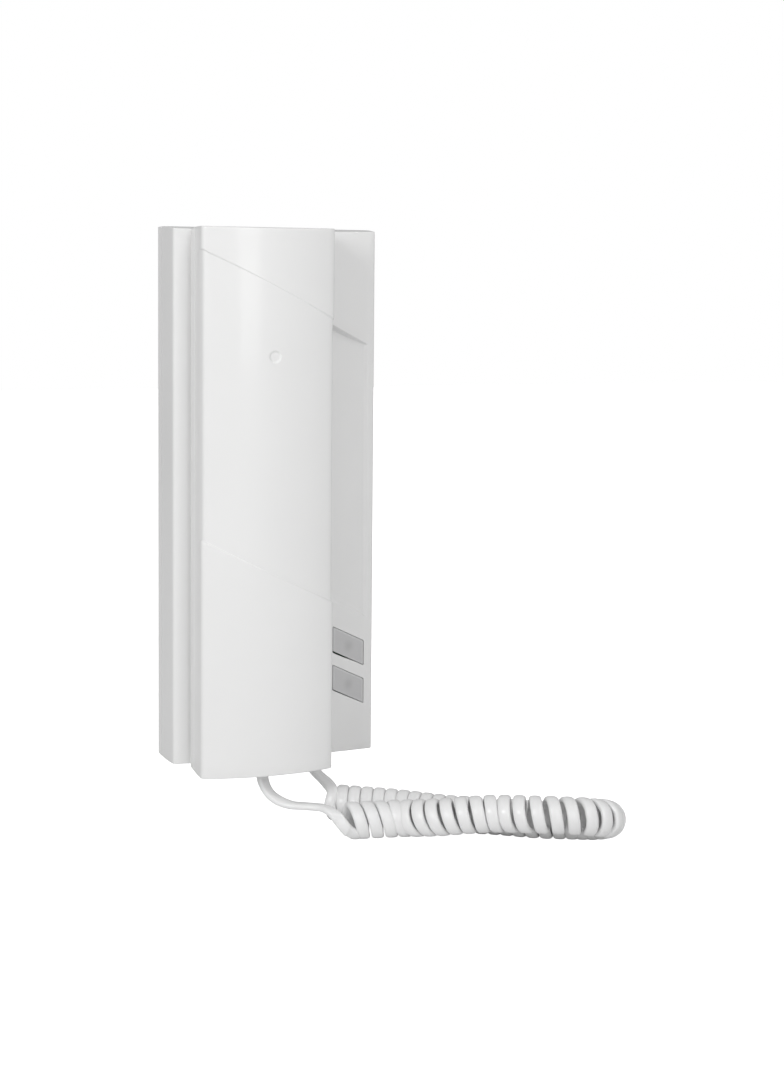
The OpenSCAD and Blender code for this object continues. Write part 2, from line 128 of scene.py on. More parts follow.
EAR_X, _, EAR_Z = centre_mm("receiver_capsule")
MOUTH_Z = centre_mm("microphone_capsule")[2]
EAR_R = 18.0
MOUTH_R = 14.5
CUP_FACE_D = -rear_high.y
WELL_GAP = 1.0
WELL_RISE = 5.0
WELL_FLOOR_D = 22.2
WELL_WALL = 1.6


# ---------------------------------------------------------------- materials

def principled(name):
    """A new material's nodes, links and shader."""
    material = bpy.data.materials.new(name)
    material.use_nodes = True
    tree = material.node_tree
    return material, tree.nodes, tree.links, tree.nodes["Principled BSDF"]


def noise(tree_nodes, links, coords, scale, detail=2.0):
    """Factor of a noise texture whose grain is about 1 / scale metres."""
    texture = tree_nodes.new("ShaderNodeTexNoise")
    texture.inputs["Scale"].default_value = scale
    texture.inputs["Detail"].default_value = detail
    links.new(coords, texture.inputs["Vector"])
    return texture.outputs["Fac"]


def spread(tree_nodes, links, value, low, high):
    """A value between 0.3 and 0.7 stretched to low and high."""
    remap = tree_nodes.new("ShaderNodeMapRange")
    remap.inputs["From Min"].default_value = 0.3
    remap.inputs["From Max"].default_value = 0.7
    remap.inputs["To Min"].default_value = low
    remap.inputs["To Max"].default_value = high
    links.new(value, remap.inputs["Value"])
    return remap.outputs["Result"]


def moulded(name, colour, roughness, grain=0.0005, relief=0.00001, shade=0.03, edge=0.0,
            metallic=0.0, swirl=(1, 1, 1), subsurface=0.0, clear=0.0, coat=0.0, spot=0.0):
    """Moulded, drawn or plated surface: slow colour changes, uneven gloss and a fine grain.

    edge lightens convex edges as wear and as a painted highlight, swirl stretches the grain, coat
    adds a weak sharper gloss and spot darkens the middle of the piece.
    """
    material, tree_nodes, links, shader = principled(name)
    coords = tree_nodes.new("ShaderNodeTexCoord").outputs["Object"]
    stretch = tree_nodes.new("ShaderNodeMapping")
    stretch.inputs["Scale"].default_value = swirl
    links.new(coords, stretch.inputs["Vector"])
    grain_coords = stretch.outputs["Vector"]

    tone = spread(tree_nodes, links, noise(tree_nodes, links, coords, 22, 3), 0, 1)
    mix = tree_nodes.new("ShaderNodeMix")
    mix.data_type = "RGBA"
    mix.inputs["A"].default_value = [c * (1 - shade) for c in colour] + [1]
    mix.inputs["B"].default_value = list(colour) + [1]
    links.new(tone, mix.inputs["Factor"])
    surface_colour = mix.outputs["Result"]
    # Convex edges (high pointiness) get a lighter colour: partly edge wear, partly a painted
    # highlight along rounded edges.
    if edge:
        wear_and_highlight_mask = tree_nodes.new("ShaderNodeMapRange")
        wear_and_highlight_mask.inputs["From Min"].default_value = 0.52
        wear_and_highlight_mask.inputs["From Max"].default_value = 0.62
        links.new(tree_nodes.new("ShaderNodeNewGeometry").outputs["Pointiness"],
                  wear_and_highlight_mask.inputs["Value"])
        wear_and_highlight_mix = tree_nodes.new("ShaderNodeMix")
        wear_and_highlight_mix.data_type = "RGBA"
        wear_and_highlight_mix.inputs["B"].default_value = [min(1, c * (1 + edge)) for c in colour] + [1]
        links.new(surface_colour, wear_and_highlight_mix.inputs["A"])
        links.new(wear_and_highlight_mask.outputs["Result"], wear_and_highlight_mix.inputs["Factor"])
        surface_colour = wear_and_highlight_mix.outputs["Result"]
    if spot:
        offset = tree_nodes.new("ShaderNodeMapping")
        offset.inputs["Location"].default_value = (-0.5, 0, -0.5)
        offset.inputs["Scale"].default_value = (1, 0, 1)
        links.new(tree_nodes.new("ShaderNodeTexCoord").outputs["Generated"],
                  offset.inputs["Vector"])
        distance = tree_nodes.new("ShaderNodeVectorMath")
        distance.operation = "LENGTH"
        links.new(offset.outputs["Vector"], distance.inputs[0])
        fade = tree_nodes.new("ShaderNodeMapRange")
        fade.interpolation_type = "SMOOTHSTEP"
        fade.inputs["From Max"].default_value = 0.22
        fade.inputs["To Min"].default_value = 1 - spot
        fade.inputs["To Max"].default_value = 1
        links.new(distance.outputs["Value"], fade.inputs["Value"])
        darker = tree_nodes.new("ShaderNodeVectorMath")
        darker.operation = "SCALE"
        links.new(surface_colour, darker.inputs[0])
        links.new(fade.outputs["Result"], darker.inputs["Scale"])
        surface_colour = darker.outputs["Vector"]
    links.new(surface_colour, shader.inputs["Base Color"])

    gloss = noise(tree_nodes, links, coords, 140, 4)
    links.new(spread(tree_nodes, links, gloss, roughness - 0.05, roughness + 0.05),
              shader.inputs["Roughness"])
    bump = tree_nodes.new("ShaderNodeBump")
    bump.inputs["Strength"].default_value = 0.6
    bump.inputs["Distance"].default_value = relief
    links.new(noise(tree_nodes, links, grain_coords, 1 / grain, 3), bump.inputs["Height"])
    links.new(bump.outputs["Normal"], shader.inputs["Normal"])
    shader.inputs["Metallic"].default_value = metallic
    shader.inputs["Coat Weight"].default_value = coat
    shader.inputs["Coat Roughness"].default_value = 0.12
    if subsurface:
        shader.inputs["Subsurface Weight"].default_value = subsurface
        shader.inputs["Subsurface Radius"].default_value = (0.0015, 0.0015, 0.0015)
        shader.inputs["Subsurface Scale"].default_value = 1
    if clear:
        shader.inputs["Transmission Weight"].default_value = clear
        shader.inputs["IOR"].default_value = 1.58
    return material


# edge=0.03 lightens the shells' convex edges: a painted highlight along them, with some wear.
WHITE = moulded("white_shell_plastic", (0.81, 0.81, 0.807), 0.38, grain=0.0006,
                relief=0.000012, shade=0.02, edge=0.03, coat=0.4)
KEY_FIELD = moulded("grey_key_field", (0.57, 0.57, 0.575), 0.34, shade=0.06, spot=0.14)
# The rim is a lighter copy of the key grey: a painted highlight on the keys' bevels and sides.
KEY_RIM_HIGHLIGHT = moulded("grey_key_rim_painted_highlight", (0.62, 0.62, 0.625), 0.3, shade=0.04)
CORD_SHEATH = moulded("white_cord_sheath", (0.83, 0.83, 0.83), 0.42, grain=0.0008,
                      relief=0.00002, shade=0.03, subsurface=0.12, coat=0.4)
BLACK = moulded("black_moulding", (0.018, 0.018, 0.02), 0.5, shade=0.3)
FOAM = moulded("black_foam", (0.02, 0.02, 0.02), 0.9, grain=0.0007, relief=0.0002, shade=0.4)
STEEL = moulded("zinc_plated_steel", (0.62, 0.63, 0.64), 0.3, grain=0.0003, shade=0.12,
                metallic=1.0, swirl=(1, 6, 1))
BOARD = moulded("green_solder_mask", (0.02, 0.13, 0.05), 0.3, grain=0.002, shade=0.35)
CLEAR = moulded("clear_polycarbonate", (0.93, 0.95, 0.95), 0.08, clear=0.9)
GREY_BLOCK = moulded("grey_terminal_moulding", (0.3, 0.32, 0.33), 0.45, shade=0.08)
IVORY = moulded("ivory_moulding", (0.72, 0.62, 0.42), 0.4)
WIRE = moulded("red_wire_sheath", (0.4, 0.03, 0.025), 0.4, shade=0.15)


# ---------------------------------------------------------------- mesh helpers

def point(x, depth, z):
    return Vector((x * MM, -depth * MM, z * MM))


def mesh_object(name, points, faces):
    """Closed mesh from (x, depth, z) points, with its normals outwards."""
    mesh = bpy.data.meshes.new(name)
    mesh.from_pydata([point(*p) for p in points], [], faces)
    obj = bpy.data.objects.new(name, mesh)
    bpy.context.scene.collection.objects.link(obj)
    tidy_mesh(obj)
    return obj


def tidy_mesh(obj, merge=1e-7):
    """Welds doubles, drops faces of no area and points the normals outwards."""
    bm = bmesh.new()
    bm.from_mesh(obj.data)
    bmesh.ops.remove_doubles(bm, verts=bm.verts, dist=merge)
    bmesh.ops.dissolve_degenerate(bm, edges=bm.edges, dist=merge)
    bmesh.ops.recalc_face_normals(bm, faces=bm.faces)
    bm.to_mesh(obj.data)
    bm.free()


def join(objects, name):
    """One object from several, whose meshes stay separate shells."""
    bm = bmesh.new()
    for obj in objects:
        bm.from_mesh(obj.data)
        bpy.data.objects.remove(obj)
    mesh = bpy.data.meshes.new(name)
    bm.to_mesh(mesh)
    bm.free()
    joined = bpy.data.objects.new(name, mesh)
    bpy.context.scene.collection.objects.link(joined)
    return joined


def carve(obj, tools, operation):
    """Adds or cuts each group of tools, which don't touch one another."""
    tool = join(tools, obj.name + "_tool")
    modifier = obj.modifiers.new("carve", "BOOLEAN")
    modifier.operation = operation
    modifier.solver = "EXACT"
    modifier.object = tool
    bpy.context.view_layer.update()
    result = obj.evaluated_get(bpy.context.evaluated_depsgraph_get())
    mesh = bpy.data.meshes.new_from_object(result)
    obj.modifiers.clear()
    obj.data = mesh
    bpy.data.objects.remove(tool)


def shade(obj, sharp_deg=32):
    """Smooth faces with sharp edges where two faces meet at more than an angle."""
    bm = bmesh.new()
    bm.from_mesh(obj.data)
    limit = math.radians(sharp_deg)
    for edge in bm.edges:
        edge.smooth = len(edge.link_faces) == 2 and edge.calc_face_angle(0) < limit
    for face in bm.faces:
        face.smooth = True
    bm.to_mesh(obj.data)
    bm.free()


def dress(obj, material, body, slot, *replaced, sharp_deg=32):
    """Gives a finished piece its shading, material and body, and hides the CAD nodes it stands
    for; slot is not used.
    """
    shade(obj, sharp_deg)
    obj.data.materials.clear()
    obj.data.materials.append(material)
    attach(obj, body)
    if replaced:
        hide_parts(*replaced)
    return obj


def post(x, z, r, d0, d1, sides=48):
    """Cylinder along the depth."""
    ring = [(x + r * math.cos(math.tau * i / sides), z + r * math.sin(math.tau * i / sides))
            for i in range(sides)]
    points = [(px, d, pz) for d in (d0, d1) for px, pz in ring]
    sides_faces = [(i, (i + 1) % sides, sides + (i + 1) % sides, sides + i)
                   for i in range(sides)]
    return mesh_object("post", points,
                       sides_faces + [tuple(range(sides)), tuple(range(sides, 2 * sides))])


def lathe(x, z, profile, sides=72):
    """Solid turned about a line along the depth from (radius, depth) points, both ends on it."""
    points = [(x, profile[0][1], z), (x, profile[-1][1], z)]
    rings = profile[1:-1]
    for r, depth in rings:
        for i in range(sides):
            a = math.tau * i / sides
            points.append((x + r * math.cos(a), depth, z + r * math.sin(a)))
    faces = []
    for i in range(sides):
        j = (i + 1) % sides
        faces.append((0, 2 + i, 2 + j))
        last = 2 + (len(rings) - 1) * sides
        faces.append((1, last + j, last + i))
        for k in range(len(rings) - 1):
            a, b = 2 + k * sides, 2 + (k + 1) * sides
            faces.append((a + i, b + i, b + j, a + j))
    return mesh_object("lathe", points, faces)


def ladder(xs, low, high, near, far):
    """Solid between two height functions and two depth functions of x."""
    points = []
    for x in xs:
        points += [(x, near(x), low(x)), (x, near(x), high(x)),
                   (x, far(x), high(x)), (x, far(x), low(x))]
    faces = [(0, 1, 2, 3), tuple(len(points) - 4 + i for i in range(4))]
    for k in range(len(xs) - 1):
        a, b = 4 * k, 4 * k + 4
        faces += [(a + i, a + (i + 1) % 4, b + (i + 1) % 4, b + i) for i in range(4)]
    return mesh_object("ladder", points, faces)


def block(x0, x1, d0, d1, z0, z1):
    return ladder([x0, x1], lambda x: z0, lambda x: z1, lambda x: d0, lambda x: d1)


def stadium(x, z, r, rise, near, far):
    """Upright solid with a round top and bottom; near and far are depth functions of x."""
    xs = [x - r * math.cos(math.pi * i / 40) for i in range(41)]

    def reach(px):
        return math.sqrt(max(r * r - (px - x) ** 2, 0.0))

    return ladder(xs, lambda px: z - reach(px), lambda px: z + rise + reach(px), near, far)


# ---------------------------------------------------------------- shells

def span_values(low, high, step):
    count = max(1, round((high - low) / step))
    return [low + (high - low) * i / count for i in range(count + 1)]


def bow_radius(half, crown):
    return (half * half + crown * crown) / (2 * crown)


def front_outline(cx, half, flare, side_d, crown, corner, start_d, xs):
    """Outline of a bowed shell as a function of its inset: (x, depth, normal x, normal depth).

    It runs from the left rim round the front to the right rim. xs are the places across the
    front, from the middle to the right, that get a column of their own on both sides.
    """
    peak = side_d + crown
    radius = bow_radius(half, crown)

    def arc_angle(inset):
        rounding = max(corner - inset, MIN_CORNER)
        return math.asin((half - inset - rounding) / (radius - inset - rounding))

    full = arc_angle(0)
    turns = sorted({round(s * math.asin(x / radius) / full, 6) for x in xs for s in (-1, 1)})

    def outline(inset):
        r = radius - inset
        c = max(corner - inset, MIN_CORNER)
        k = half - inset - c
        q = r - c
        corner_d = peak - radius + math.sqrt(q * q - k * k)
        a = arc_angle(inset)
        side = [(half - inset - SEAM_CHAMFER, start_d)]
        side += [(half - inset, d)
                 for d in span_values(start_d + SEAM_CHAMFER, corner_d, (corner_d - start_d) / 5)]
        side = [(x + flare * (1 - d / side_d), d, 1, 0) for x, d in side]
        for i in range(1, 6):
            t = math.pi / 2 - (math.pi / 2 - a) * i / 6
            side.append((k + c * math.sin(t), corner_d + c * math.cos(t), math.sin(t),
                         math.cos(t)))
        front = [(r * math.sin(t * a), peak - radius + r * math.cos(t * a), math.sin(t * a),
                  math.cos(t * a)) for t in turns]
        left = [(cx - x, d, -nx, nd) for x, d, nx, nd in side]
        return (left + [(cx + x, d, nx, nd) for x, d, nx, nd in front]
                + [(cx + x, d, nx, nd) for x, d, nx, nd in reversed(side)])

    return outline


def rear_outline(cx, half, rear_d, corner, start_d, step):
    """Outline of the flat-backed rear shell, like front_outline's but facing the wall."""
    turns = span_values(-1, 1, step / half)[1:-1]

    def outline(inset):
        c = max(corner - inset, MIN_CORNER)
        k = half - inset - c
        corner_d = rear_d + inset + c
        side = [(half - inset - SEAM_CHAMFER, start_d, 1, 0)]
        side += [(half - inset, d, 1, 0)
                 for d in span_values(start_d - SEAM_CHAMFER, corner_d, (corner_d - start_d) / 3)]
        side += [(k + c * math.cos(t), corner_d - c * math.sin(t), math.cos(t), -math.sin(t))
                 for t in (math.pi / 2 * i / 6 for i in range(1, 7))]
        flat = [(k * t, rear_d + inset, 0, -1) for t in turns]
        left = [(cx - x, d, -nx, nd) for x, d, nx, nd in side]
        return (left + [(cx + x, d, nx, nd) for x, d, nx, nd in flat]
                + [(cx + x, d, nx, nd) for x, d, nx, nd in reversed(side)])

    return outline


def domed_end(bulge, middle_d, reach):
    """Height of a shell's end above its middle, as a function of depth."""
    return lambda depth: HALF_H + bulge * (1 - ((depth - middle_d) / reach) ** 2)


def shell(name, outline, end, rows, relief, fillet):
    """Closed thin-walled shell.

    rows are (height function of x and depth, how much of the band's relief applies) from the
    bottom up. relief gives how far a point of the outer skin sinks along its normal.
    """
    turns = [math.pi / 2 * i / 4 for i in range(5)]

    def skin(wall, radius):
        grid = []
        for turn in turns:
            rim = outline(wall + radius * (1 - math.sin(turn)))
            drop = wall + radius * (1 - math.cos(turn))
            grid.append([(x, d, drop - end(d)) for x, d, _, _ in rim])
        for height, weight in rows:
            line = []
            for x, d, nx, nd in outline(wall):
                z = height(x, d)
                sink = relief(x, d, nd, z, weight)
                line.append((x - nx * sink, d - nd * sink, z * (end(d) - wall) / end(d)))
            grid.append(line)
        for turn in reversed(turns):
            rim = outline(wall + radius * (1 - math.sin(turn)))
            drop = wall + radius * (1 - math.cos(turn))
            grid.append([(x, d, end(d) - drop) for x, d, _, _ in rim])
        return grid

    outer, inner = skin(0, fillet), skin(WALL, INNER_FILLET)
    m, n = len(outer), len(outer[0])
    points = [p for grid in (outer, inner) for row in grid for p in row]
    faces = []
    for start in (0, m * n):
        faces += [(start + k * n + i, start + k * n + i + 1, start + (k + 1) * n + i + 1,
                   start + (k + 1) * n + i) for k in range(m - 1) for i in range(n - 1)]
        for row in (start, start + (m - 1) * n):
            for i in range((n - 1) // 2):
                rung = [row + i, row + i + 1, row + n - 2 - i, row + n - 1 - i]
                faces.append(tuple(dict.fromkeys(rung)))
    skins = m * n
    for column in (0, n - 1):
        faces += [(k * n + column, (k + 1) * n + column, skins + (k + 1) * n + column,
                   skins + k * n + column) for k in range(m - 1)]
    for row in (0, (m - 1) * n):
        faces.append((row, row + n - 1, skins + row + n - 1, skins + row))
    return mesh_object(name, points, faces)


def band_line(z):
    """A band edge as a height function of x and depth."""
    return lambda x, depth: z - BAND_SLOPE * x


def mixed(a, b, share):
    return lambda x, depth: (1 - share) * a(x, depth) + share * b(x, depth)


def ramp_rows(line, width, sign):
    """Rows across a band's sloped edge; the band lies on the side of sign."""
    rows = []
    for share in (-0.3, -0.1, 0.1, 0.5, 0.9, 1.1, 1.3):
        weight = min(max(share, 0), 1)
        rows.append((lambda x, d, s=share: line(x, d) + sign * s * width(x), weight))
    return rows if sign > 0 else rows[::-1]


def band_rows(end, fillet, low_width, top_width, shares):
    """Rows of a shell with a diagonal band; shares place the rows inside the band."""
    low, high = band_line(BAND_LOW_Z), band_line(BAND_HIGH_Z)

    def bottom(x, depth):
        return fillet - end(depth)

    def top(x, depth):
        return end(depth) - fillet

    rows = [(mixed(bottom, low, i / 20), 0) for i in range(1, 20)]
    rows += ramp_rows(low, low_width, 1)
    rows += [(mixed(low, high, share), 1) for share in shares]
    rows += ramp_rows(high, top_width, -1)
    rows += [(mixed(high, top, i / 10), 0) for i in range(1, 10)]
    return rows


def smooth(t):
    t = min(max(t, 0.0), 1.0)
    return t * t * (3 - 2 * t)


# ---------------------------------------------------------------- camera, light and floor

SENSOR = 36.0
FOCAL_PX = 1808.0
FRAME_H = 1066
camera_data = bpy.data.cameras.new("camera")
camera_data.sensor_width = SENSOR
camera_data.lens = FOCAL_PX / FRAME_H * SENSOR
camera_data.shift_y = -0.11
camera_data.clip_start = 0.01
camera = bpy.data.objects.new("camera", camera_data)
bpy.context.scene.collection.objects.link(camera)
camera.matrix_world = (Matrix.Translation((-0.1991, -0.6949, 0.0794))
                       @ Matrix.Rotation(math.radians(-20.204), 4, "Z")
                       @ Matrix.Rotation(math.radians(90 - 3.922), 4, "X")
                       @ Matrix.Rotation(math.radians(0.47), 4, "Z"))
bpy.context.scene.camera = camera


def softbox(name, place, width, height, power):
    """Rectangular area light that looks at the phone."""
    data = bpy.data.lights.new(name, "AREA")
    data.shape = "RECTANGLE"
    data.size = width
    data.size_y = height
    data.energy = power
    lamp = bpy.data.objects.new(name, data)
    bpy.context.scene.collection.objects.link(lamp)
    lamp.location = place
    lamp.rotation_euler = (-Vector(place)).to_track_quat("-Z", "Y").to_euler()


softbox("key_light", (-1.06, -0.89, 0.58), 0.5, 0.5, 7.2)
softbox("front_light", (-0.02, -1.35, 0.66), 0.4, 1.5, 5.3)
softbox("top_light", (0.7, -0.62, 0.95), 0.35, 0.35, 2.0)

world = bpy.data.worlds.new("studio")
bpy.context.scene.world = world
world.use_nodes = True
world_nodes, world_links = world.node_tree.nodes, world.node_tree.links
ambient = world_nodes["Background"]
ambient.inputs["Color"].default_value = (1, 1, 1, 1)
ambient.inputs["Strength"].default_value = 0.425
backdrop = world_nodes.new("ShaderNodeBackground")
backdrop.inputs["Color"].default_value = (1, 1, 1, 1)
backdrop.inputs["Strength"].default_value = 1.0
chooser = world_nodes.new("ShaderNodeMixShader")
world_links.new(world_nodes.new("ShaderNodeLightPath").outputs["Is Camera Ray"],
                chooser.inputs["Fac"])
world_links.new(ambient.outputs["Background"], chooser.inputs[1])
world_links.new(backdrop.outputs["Background"], chooser.inputs[2])
world_links.new(chooser.outputs["Shader"], world_nodes["World Output"].inputs["Surface"])
bpy.context.scene.view_settings.view_transform = "Standard"

FLOOR_Z = -127.5 * MM
floor_mesh = bpy.data.meshes.new("floor")
floor_mesh.from_pydata([(-3, -3, FLOOR_Z), (3, -3, FLOOR_Z), (3, 3, FLOOR_Z), (-3, 3, FLOOR_Z)],
                       [], [(0, 1, 2, 3)])
floor = bpy.data.objects.new("floor", floor_mesh)
bpy.context.scene.collection.objects.link(floor)
floor_material, floor_nodes, floor_links, floor_shader = principled("pale_floor")
floor_shader.inputs["Base Color"].default_value = (0.85, 0.85, 0.85, 1)
floor_shader.inputs["Roughness"].default_value = 0.9
floor_shader.inputs["Emission Color"].default_value = (1, 1, 1, 1)
floor_links.new(floor_nodes.new("ShaderNodeLightPath").outputs["Is Camera Ray"],
                floor_shader.inputs["Emission Strength"])
floor_mesh.materials.append(floor_material)


# ---------------------------------------------------------------- cord

CORD_W = 4.7 * MM
CORD_T = 2.6 * MM
COIL_R = 5.75 * MM

HANDSET_LEAD = [
    (-0.01, -0.0415, -0.1023), (-0.01, -0.0416, -0.1064), (-0.0085, -0.0428, -0.1106),
    (-0.0057, -0.0448, -0.1136), (-0.0012, -0.048, -0.1154), (0.0033, -0.0515, -0.1154),
    (0.0087, -0.056, -0.1152), (0.0106, -0.0595, -0.1155), (0.0126, -0.062, -0.1171)]
COIL_ROUTE = [
    (0.0151, -0.0579, -0.1205), (0.0378, -0.0618, -0.1205), (0.044, -0.0669, -0.1195),
    (0.0511, -0.0734, -0.118), (0.0594, -0.0787, -0.1165), (0.0694, -0.0838, -0.1155),
    (0.0815, -0.0928, -0.1145), (0.0952, -0.0981, -0.1148), (0.102, -0.0987, -0.1158),
    (0.1074, -0.0973, -0.117), (0.1096, -0.0947, -0.1184), (0.1095, -0.0918, -0.1196),
    (0.1063, -0.0885, -0.1205), (0.1009, -0.0862, -0.1205), (0.0872, -0.0799, -0.1205),
    (0.0747, -0.0713, -0.1205), (0.0648, -0.0655, -0.1205), (0.0563, -0.0601, -0.1205),
    (0.0428, -0.0479, -0.1205), (0.0283, -0.0377, -0.1205), (0.0213, -0.0332, -0.1205)]
BASE_LEAD = [
    (0.0192, -0.0386, -0.1185), (0.0198, -0.0365, -0.1153), (0.0195, -0.03, -0.1133),
    (0.0176, -0.023, -0.1111), (0.0157, -0.0176, -0.1075), (0.015, -0.0156, -0.1046),
    (0.015, -0.0154, -0.102)]
# Distance along the coil's axis and the pitch there.
PITCHES = [(0, 0.015), (0.003, 0.013), (0.0045, 0.0054), (0.024, 0.0053), (0.049, 0.0053),
           (0.063, 0.0055), (0.078, 0.006), (0.094, 0.0059), (0.101, 0.0042), (0.106, 0.0035),
           (0.119, 0.0036), (0.129, 0.005), (0.153, 0.0049)]
# Distance along the axis and how far the first turns lean over, as a share of the radius.
LEANS = [(0, 1.25), (0.002, 0.8), (0.0027, 0.62), (0.0054, 0.14), (0.035, 0.14), (0.05, 0),
         (1, 0)]
START_TURN = math.radians(110)
END_TURN = math.radians(280)
TURN_POINTS = 26
AXIS_STEP = 0.5 * MM
LEAD_STEP = 1.4 * MM


def catmull(points, step):
    """Points about step apart on a smooth curve through the given ones."""
    points = [Vector(p) for p in points]
    ends = [2 * points[0] - points[1]] + points + [2 * points[-1] - points[-2]]
    result = []
    for i in range(1, len(ends) - 2):
        a, b, c, d = ends[i - 1:i + 3]
        count = max(2, round((c - b).length / step))
        for k in range(count):
            t = k / count
            result.append(0.5 * (2 * b + (c - a) * t + (2 * a - 5 * b + 4 * c - d) * t * t
                                 + (3 * b - a - 3 * c + d) * t ** 3))
    return result + [points[-1]]


def looked_up(table, value):
    for (a, va), (b, vb) in zip(table, table[1:]):
        if value <= b:
            return va + (vb - va) * (value - a) / (b - a)
    return table[-1][1]


def coil_points():
    """Points of the helix and their outward directions."""
    axis = catmull(COIL_ROUTE, AXIS_STEP)
    lengths = [0.0]
    for a, b in zip(axis, axis[1:]):
        lengths.append(lengths[-1] + (b - a).length)
    turns = [0.0]
    for s0, s1 in zip(lengths, lengths[1:]):
        turns.append(turns[-1] + math.tau * (s1 - s0) / looked_up(PITCHES, s0))
    wanted = END_TURN - START_TURN
    whole = round((turns[-1] - wanted) / math.tau) * math.tau + wanted
    turns = [START_TURN + t * whole / turns[-1] for t in turns]
    count = int(whole / math.tau * TURN_POINTS)
    points, outwards = [], []
    k = 0
    for i in range(count + 1):
        turn = START_TURN + whole * i / count
        while k < len(turns) - 2 and turns[k + 1] < turn:
            k += 1
        share = (turn - turns[k]) / (turns[k + 1] - turns[k])
        middle = axis[k].lerp(axis[k + 1], share)
        ahead = (axis[min(k + 6, len(axis) - 1)] - axis[max(k - 5, 0)]).normalized()
        up = (Vector((0, 0, 1)) - ahead * ahead.z).normalized()
        side = ahead.cross(up)
        outward = up * math.cos(turn) + side * math.sin(turn)
        place = lengths[k] + (lengths[k + 1] - lengths[k]) * share
        lean = looked_up(LEANS, place) * math.cos(turn)
        points.append(middle + (outward - ahead * lean) * COIL_R)
        outwards.append(outward)
    return points, outwards


def lead_faces(points, hints):
    """Outward directions along a lead, blended between hints spaced evenly along it."""
    result = []
    for i in range(len(points)):
        place = i / (len(points) - 1) * (len(hints) - 1)
        k = min(int(place), len(hints) - 2)
        result.append(hints[k].lerp(hints[k + 1], smooth(place - k)))
    return result


def clear_of(points, end, beyond):
    """Points of a lead's curve that don't crowd the coil's end or lie past it."""
    return [p for p in points if (p - end).length > 0.0012 and (p - beyond).length > 0.003]


def cord_section():
    """Places across the strand and through it, round its flat, rounded outline."""
    section = []
    for i in range(16):
        a = math.tau * i / 16
        ca, sa = math.cos(a), math.sin(a)
        section.append((math.copysign(abs(ca) ** 0.6, ca) * CORD_W / 2,
                        math.copysign(abs(sa) ** 0.8, sa) * CORD_T / 2))
    return section


def build_cord():
    """The whole flat cord as one swept mesh, and its ring centres."""
    helix, helix_out = coil_points()
    first = clear_of(catmull(HANDSET_LEAD + [helix[0], helix[3]], LEAD_STEP), helix[0], helix[3])
    last = clear_of(catmull([helix[-3], helix[-1]] + BASE_LEAD[1:], LEAD_STEP), helix[-1],
                    helix[-3])
    up = Vector((0, 0, 1))
    first_out = lead_faces(first, [Vector((0.1, -1, 0)), Vector((0.5, -0.7, 0.5)), up, up,
                                   helix_out[0]])
    last_out = lead_faces(last, [helix_out[-1], Vector((-0.2, -0.7, 0.7)), up,
                                 Vector((0, -0.7, 0.7)), Vector((0, -1, 0.1))])
    centres = first + helix + last
    outs = first_out + helix_out + last_out
    section = cord_section()
    points, faces = [], []
    for i, (centre, out) in enumerate(zip(centres, outs)):
        ahead = (centres[min(i + 1, len(centres) - 1)] - centres[max(i - 1, 0)]).normalized()
        across = ahead.cross(out).normalized()
        thin = across.cross(ahead)
        points += [centre + across * w + thin * t for w, t in section]
    n = len(section)
    for k in range(len(centres) - 1):
        faces += [(k * n + i, k * n + (i + 1) % n, (k + 1) * n + (i + 1) % n, (k + 1) * n + i)
                  for i in range(n)]
    faces += [tuple(range(n)), tuple(range(len(points) - n, len(points)))]
    mesh = bpy.data.meshes.new("curly_cord")
    mesh.from_pydata(points, [], faces)
    obj = bpy.data.objects.new("curly_cord", mesh)
    bpy.context.scene.collection.objects.link(obj)
    tidy_mesh(obj)
    return obj, centres


cord, cord_path = build_cord()
shade(cord, 60)
cord.data.materials.append(CORD_SHEATH)
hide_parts("cord_handset_lead", "cord_coil", "cord_base_lead")
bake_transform(cord)


# ---------------------------------------------------------------- handset

HOOK_Z = 91.5
HOOK_HALF_W = 4.0
HOOK_HALF_H = 2.0
HOOK_TIP_D = 34.5
HOOK_GAP = 0.4
LIFT_ANGLE = math.radians(40)
HANDSET_SCREW_Z = (42, -46)
SCREW_BOSS_R = 4.6
SCREW_HEAD_R = 3.1
SCREW_SHANK_R = 1.6
SCREW_SEAT_D = 33.7
HANDSET_INSIDE_D = 38.0
EAR_HOLLOW_R = 15.9
MOUTH_HOLLOW_R = 12.5
CUP_INSIDE_D = 26.05
# Rings of sound holes in the ear cup, as (number of holes, radius of the ring).
SOUND_RINGS = ((6, 5), (12, 10))
SOUND_HOLE_R = 0.9
PLUG_HALF_W = 4.6
PLUG_HALF_D = 4.0


def plug_opening(plug):
    """Cutter for the opening at the bottom of a shell, round a cord plug."""
    x, depth, _ = centre_mm(plug)
    return block(x - PLUG_HALF_W, x + PLUG_HALF_W, depth - PLUG_HALF_D, depth + PLUG_HALF_D,
                 -108, -98)


handset_end = domed_end(HANDSET_BULGE, HANDSET_BULGE_D, HANDSET_BULGE_REACH)
HANDSET_FILLET = 0.45
HANDSET_SIDE_D = HANDSET_PEAK_D - HANDSET_CROWN


def handset_relief(x, depth, facing, z, weight):
    """The band's step, deepest at the handset's edges, and the round dimple."""
    across = abs(x - HANDSET_X) / HANDSET_HALF
    fade = 1 - smooth((HANDSET_SIDE_D - depth) / 5) if depth < HANDSET_SIDE_D else 1
    sink = weight * fade * (BAND_MIN_STEP + (BAND_STEP - BAND_MIN_STEP) * across ** 2)
    inside = DIMPLE_R - math.hypot(x - DIMPLE_X, z - DIMPLE_Z)
    if inside > 0 and facing > 0.9:
        sink += DIMPLE_DEPTH * smooth(inside / DIMPLE_RIM)
    return sink


